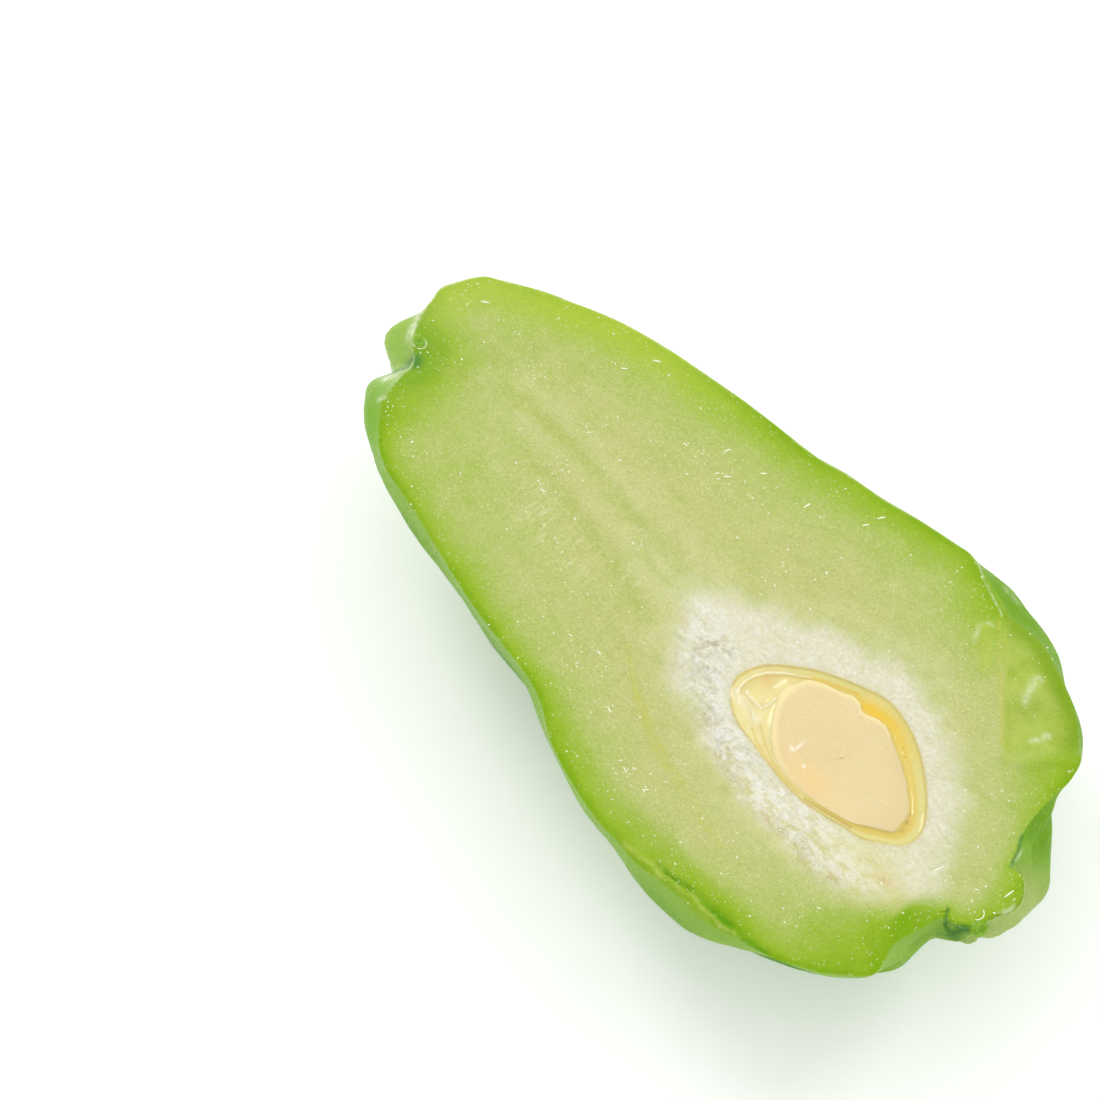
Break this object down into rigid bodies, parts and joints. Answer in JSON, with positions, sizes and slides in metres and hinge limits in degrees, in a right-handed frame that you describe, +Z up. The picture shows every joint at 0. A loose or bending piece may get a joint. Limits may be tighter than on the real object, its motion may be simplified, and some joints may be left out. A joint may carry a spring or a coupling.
{
  "type": "chayote squash half",
  "caption": "Half of a pear-shaped chayote squash cut lengthways: waxy green lobed skin, pale wet flesh, white spongy middle and a cream seed in clear jelly, cut face up.",
  "frame": {"origin": "middle of the bounding box's footprint, on the surface that the half lies on", "axes": "+X from the stem end to the blossom end, +Y across the cut face, +Z up out of the cut face"},
  "size_m": [0.1676, 0.0916, 0.0379],
  "materials": {
    "fruit": "waxy mid-green skin and wet pale green flesh that turns white around the seed",
    "jelly": "clear wet yellowish jelly",
    "seed": "smooth moist cream seed leaf"
  },
  "bodies": {
    "root": {"fruit_half": "fruit", "seed_coat": "jelly", "seed_kernel": "seed"}
  },
  "joints": []
}
